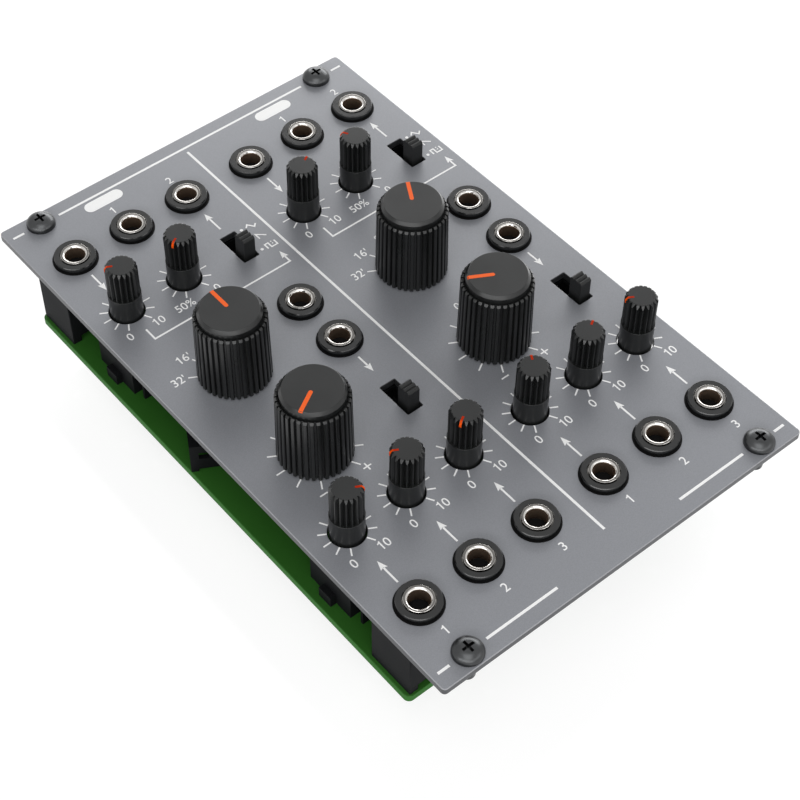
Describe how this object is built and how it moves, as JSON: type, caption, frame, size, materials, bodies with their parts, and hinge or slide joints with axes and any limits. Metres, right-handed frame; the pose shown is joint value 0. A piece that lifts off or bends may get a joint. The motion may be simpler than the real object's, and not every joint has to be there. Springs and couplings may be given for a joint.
{
  "type": "synthesizer rack module",
  "caption": "Oscillator module for a 3U rack: grey panel with rotary knobs, slide switches and patch sockets in two matching channels, on one circuit board.",
  "frame": {"origin": "under the centre of the front panel, at the mouth of the power header that the module lies on", "axes": "+Z out of the front panel, +Y towards the panel's top edge, +X to the right seen from the front"},
  "size_m": [0.081, 0.1284, 0.0428],
  "materials": {
    "panel_paint": "fine satin grey paint with white print",
    "board_lacquer": "green solder lacquer over woven glass laminate",
    "large_knob_plastic": "matt black moulding with an orange pointer",
    "small_knob_plastic": "matt black fluted moulding with a red pointer",
    "lever_plastic": "matt black moulding",
    "case_plastic": "black moulded cases",
    "black_steel": "black plated steel"
  },
  "bodies": {
    "module": {"front_panel": "panel_paint", "circuit_board": "board_lacquer", "top_left_screw": "black_steel", "top_right_screw": "black_steel", "bottom_left_screw": "black_steel", "bottom_right_screw": "black_steel", "left_top_socket_1": "case_plastic", "left_top_socket_2": "case_plastic", "left_top_socket_3": "case_plastic", "left_side_socket_1": "case_plastic", "left_side_socket_2": "case_plastic", "left_bottom_socket_1": "case_plastic", "left_bottom_socket_2": "case_plastic", "left_bottom_socket_3": "case_plastic", "left_upper_pot_1": "case_plastic", "left_upper_pot_2": "case_plastic", "left_lower_pot_1": "case_plastic", "left_lower_pot_2": "case_plastic", "left_lower_pot_3": "case_plastic", "left_range_switch": "case_plastic", "left_pitch_pot": "case_plastic", "left_waveform_switch": "case_plastic", "left_sync_switch": "case_plastic", "right_top_socket_1": "case_plastic", "right_top_socket_2": "case_plastic", "right_top_socket_3": "case_plastic", "right_side_socket_1": "case_plastic", "right_side_socket_2": "case_plastic", "right_bottom_socket_1": "case_plastic", "right_bottom_socket_2": "case_plastic", "right_bottom_socket_3": "case_plastic", "right_upper_pot_1": "case_plastic", "right_upper_pot_2": "case_plastic", "right_lower_pot_1": "case_plastic", "right_lower_pot_2": "case_plastic", "right_lower_pot_3": "case_plastic", "right_range_switch": "case_plastic", "right_pitch_pot": "case_plastic", "right_waveform_switch": "case_plastic", "right_sync_switch": "case_plastic", "power_header": "case_plastic"},
    "left_upper_knob_1": {"left_upper_knob_1": "small_knob_plastic"},
    "left_upper_knob_2": {"left_upper_knob_2": "small_knob_plastic"},
    "left_lower_knob_1": {"left_lower_knob_1": "small_knob_plastic"},
    "left_lower_knob_2": {"left_lower_knob_2": "small_knob_plastic"},
    "left_lower_knob_3": {"left_lower_knob_3": "small_knob_plastic"},
    "left_range_knob": {"left_range_knob": "large_knob_plastic"},
    "left_pitch_knob": {"left_pitch_knob": "large_knob_plastic"},
    "left_waveform_lever": {"left_waveform_lever": "lever_plastic"},
    "left_sync_lever": {"left_sync_lever": "lever_plastic"},
    "right_upper_knob_1": {"right_upper_knob_1": "small_knob_plastic"},
    "right_upper_knob_2": {"right_upper_knob_2": "small_knob_plastic"},
    "right_lower_knob_1": {"right_lower_knob_1": "small_knob_plastic"},
    "right_lower_knob_2": {"right_lower_knob_2": "small_knob_plastic"},
    "right_lower_knob_3": {"right_lower_knob_3": "small_knob_plastic"},
    "right_range_knob": {"right_range_knob": "large_knob_plastic"},
    "right_pitch_knob": {"right_pitch_knob": "large_knob_plastic"},
    "right_waveform_lever": {"right_waveform_lever": "lever_plastic"},
    "right_sync_lever": {"right_sync_lever": "lever_plastic"}
  },
  "joints": [
    {"name": "left_upper_knob_1_turn", "type": "hinge", "parent": "module", "child": "left_upper_knob_1", "pos_m": [-0.03302, 0.0327, 0.0262], "axis": [0, 0, 1], "range_deg": [-210, 90]},
    {"name": "left_upper_knob_2_turn", "type": "hinge", "parent": "module", "child": "left_upper_knob_2", "pos_m": [-0.02032, 0.0327, 0.0262], "axis": [0, 0, 1], "range_deg": [-270, 30]},
    {"name": "left_lower_knob_1_turn", "type": "hinge", "parent": "module", "child": "left_lower_knob_1", "pos_m": [-0.03302, -0.0311, 0.0262], "axis": [0, 0, 1], "range_deg": [-30, 270]},
    {"name": "left_lower_knob_2_turn", "type": "hinge", "parent": "module", "child": "left_lower_knob_2", "pos_m": [-0.02032, -0.0311, 0.0262], "axis": [0, 0, 1], "range_deg": [-210, 90]},
    {"name": "left_lower_knob_3_turn", "type": "hinge", "parent": "module", "child": "left_lower_knob_3", "pos_m": [-0.00762, -0.0311, 0.0262], "axis": [0, 0, 1], "range_deg": [-270, 30]},
    {"name": "left_range_knob_turn", "type": "hinge", "parent": "module", "child": "left_range_knob", "pos_m": [-0.02667, 0.0084, 0.0262], "axis": [0, 0, 1], "range_deg": [-60, 60]},
    {"name": "left_pitch_knob_turn", "type": "hinge", "parent": "module", "child": "left_pitch_knob", "pos_m": [-0.02667, -0.0145, 0.0262], "axis": [0, 0, 1], "range_deg": [-270, 30]},
    {"name": "left_waveform_lever_slide", "type": "slide", "parent": "module", "child": "left_waveform_lever", "axis": [0, 1, 0], "range_m": [0, 0.004]},
    {"name": "left_sync_lever_slide", "type": "slide", "parent": "module", "child": "left_sync_lever", "axis": [0, 1, 0], "range_m": [0, 0.004]},
    {"name": "right_upper_knob_1_turn", "type": "hinge", "parent": "module", "child": "right_upper_knob_1", "pos_m": [0.00762, 0.0327, 0.0262], "axis": [0, 0, 1], "range_deg": [-90, 210]},
    {"name": "right_upper_knob_2_turn", "type": "hinge", "parent": "module", "child": "right_upper_knob_2", "pos_m": [0.02032, 0.0327, 0.0262], "axis": [0, 0, 1], "range_deg": [-180, 120]},
    {"name": "right_lower_knob_1_turn", "type": "hinge", "parent": "module", "child": "right_lower_knob_1", "pos_m": [0.00762, -0.0311, 0.0262], "axis": [0, 0, 1], "range_deg": [-120, 180]},
    {"name": "right_lower_knob_2_turn", "type": "hinge", "parent": "module", "child": "right_lower_knob_2", "pos_m": [0.02032, -0.0311, 0.0262], "axis": [0, 0, 1], "range_deg": [-90, 210]},
    {"name": "right_lower_knob_3_turn", "type": "hinge", "parent": "module", "child": "right_lower_knob_3", "pos_m": [0.03302, -0.0311, 0.0262], "axis": [0, 0, 1], "range_deg": [-210, 90]},
    {"name": "right_range_knob_turn", "type": "hinge", "parent": "module", "child": "right_range_knob", "pos_m": [0.01397, 0.0084, 0.0262], "axis": [0, 0, 1], "range_deg": [-30, 90]},
    {"name": "right_pitch_knob_turn", "type": "hinge", "parent": "module", "child": "right_pitch_knob", "pos_m": [0.01397, -0.0145, 0.0262], "axis": [0, 0, 1], "range_deg": [-210, 90]},
    {"name": "right_waveform_lever_slide", "type": "slide", "parent": "module", "child": "right_waveform_lever", "axis": [0, 1, 0], "range_m": [0, 0.004]},
    {"name": "right_sync_lever_slide", "type": "slide", "parent": "module", "child": "right_sync_lever", "axis": [0, 1, 0], "range_m": [0, 0.004]}
  ]
}
